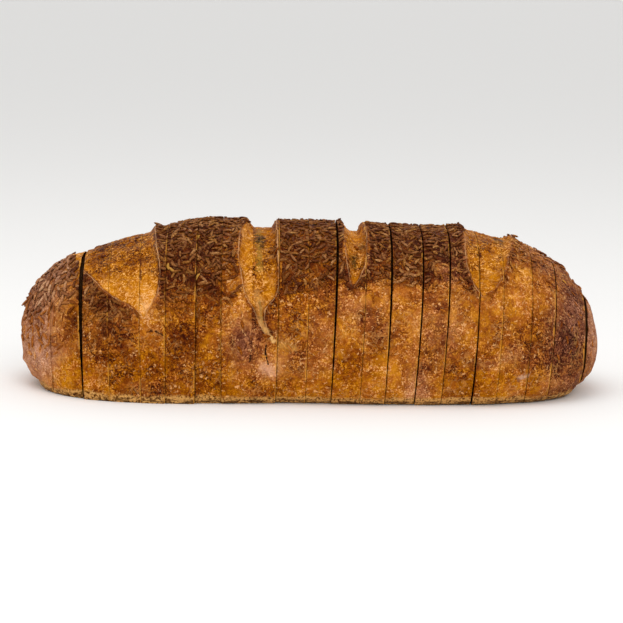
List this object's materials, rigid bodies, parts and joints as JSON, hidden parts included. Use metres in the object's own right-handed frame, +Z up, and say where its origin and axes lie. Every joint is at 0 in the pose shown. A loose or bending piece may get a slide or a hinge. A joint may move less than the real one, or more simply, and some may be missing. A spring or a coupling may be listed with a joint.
{
  "type": "sliced rye bread loaf",
  "caption": "Long sliced rye loaf with caraway seeds on a browned crust, four slashes over the top and a flat base; its slices still stand together in the loaf's shape.",
  "frame": {"origin": "centre of the bounding box's bottom, on the surface that the loaf stands on", "axes": "+X along the loaf towards its tapered end, +Y from the shown side to the far side, +Z up"},
  "size_m": [0.2736, 0.1178, 0.0792],
  "materials": {
    "crust": "matte"
  },
  "bodies": {
    "root": {"heel_left": "crust", "slice_01": "crust", "slice_02": "crust", "slice_03": "crust", "slice_04": "crust", "slice_05": "crust", "slice_06": "crust", "slice_07": "crust", "slice_08": "crust", "slice_09": "crust", "slice_10": "crust", "slice_11": "crust", "slice_12": "crust", "slice_13": "crust", "slice_14": "crust", "slice_15": "crust", "slice_16": "crust", "slice_17": "crust", "slice_18": "crust", "slice_19": "crust", "heel_right": "crust"}
  },
  "joints": []
}
